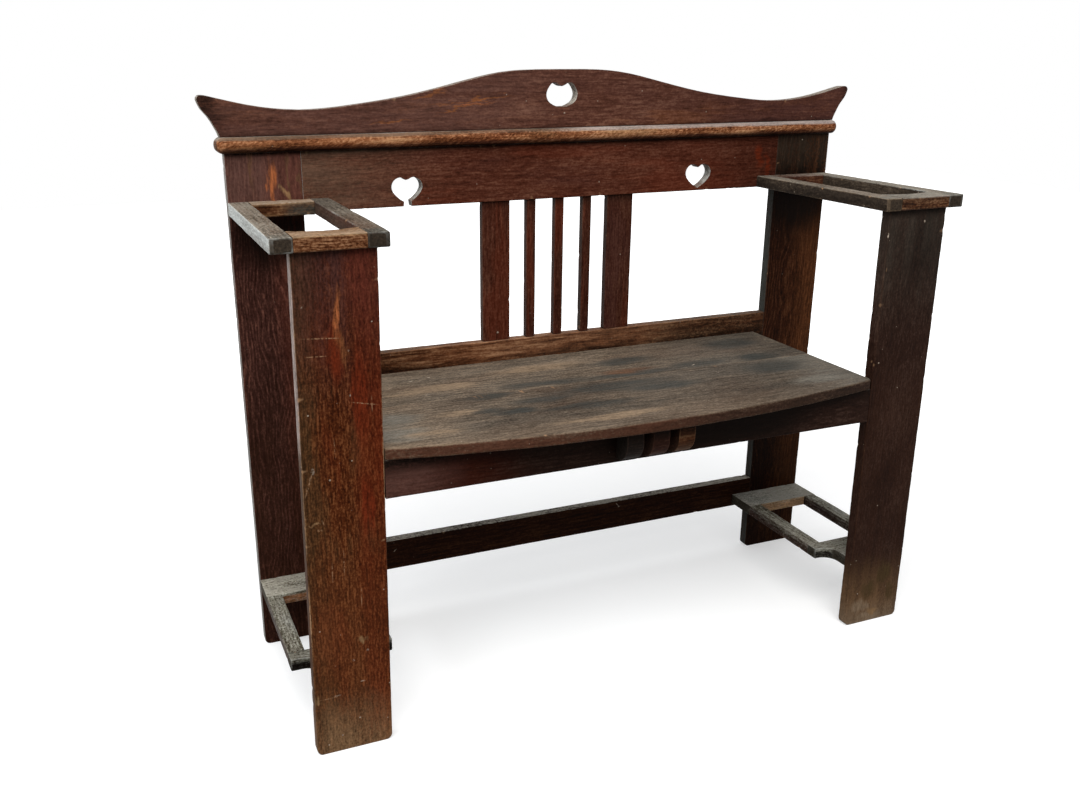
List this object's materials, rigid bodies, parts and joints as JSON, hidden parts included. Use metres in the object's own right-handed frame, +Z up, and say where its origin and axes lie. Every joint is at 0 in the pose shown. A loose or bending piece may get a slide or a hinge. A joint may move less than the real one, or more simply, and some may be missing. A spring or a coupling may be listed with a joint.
{
  "type": "hall settle",
  "caption": "Stained oak hall settle with slatted back, ogee crest with heart cut-outs, bowed seat, and an umbrella ring over a lower tip frame at each end.",
  "frame": {"origin": "on the floor, under the middle of the bounding box: midway between the horn tips and midway between the seat's bowed edge and the rear faces", "axes": "+Z up, X along the settle, -Y towards the sitter's feet, +Y to the wall"},
  "size_m": [1.1554, 0.3929, 0.9394],
  "materials": {
    "dark_oak": "dark red-brown stained oak, worn satin",
    "ring_oak": "stained oak, rubbed and dusty",
    "seat_oak": "weathered grey-brown oak, dull",
    "dowel_wood": "plain beech, hidden",
    "screw_steel": "old steel, hidden"
  },
  "bodies": {
    "root": {"arm_dowels": "dowel_wood", "arm_front_rail_left": "ring_oak", "arm_front_rail_right": "ring_oak", "arm_inner_rail_left": "ring_oak", "arm_inner_rail_right": "ring_oak", "arm_outer_rail_left": "ring_oak", "arm_outer_rail_right": "ring_oak", "arm_rear_rail_left": "ring_oak", "arm_rear_rail_right": "ring_oak", "back_slat_1_wide": "dark_oak", "back_slat_2_narrow": "dark_oak", "back_slat_3_narrow": "dark_oak", "back_slat_4_narrow": "dark_oak", "back_slat_5_wide": "dark_oak", "back_stretcher": "dark_oak", "cap_moulding": "dark_oak", "cleat_screws": "screw_steel", "corbel_screws": "screw_steel", "crest_board": "dark_oak", "crest_dowels": "dowel_wood", "front_apron": "dark_oak", "front_post_left": "dark_oak", "front_post_right": "dark_oak", "lower_frame_dowels": "dowel_wood", "lower_front_rail_left": "ring_oak", "lower_front_rail_right": "ring_oak", "lower_inner_rail_left": "ring_oak", "lower_inner_rail_right": "ring_oak", "lower_outer_rail_left": "ring_oak", "lower_outer_rail_right": "ring_oak", "lower_rear_rail_left": "ring_oak", "lower_rear_rail_right": "ring_oak", "rear_post_left": "dark_oak", "rear_post_right": "dark_oak", "seat_back_rail": "dark_oak", "seat_cleat": "dark_oak", "seat_corbel_left": "dark_oak", "seat_corbel_middle": "dark_oak", "seat_corbel_right": "dark_oak", "seat_front_board": "seat_oak", "seat_glue_blocks": "dark_oak", "seat_rear_board": "seat_oak", "seat_screws": "screw_steel", "seat_side_rail_left": "dark_oak", "seat_side_rail_right": "dark_oak", "top_rail": "dark_oak"}
  },
  "joints": []
}
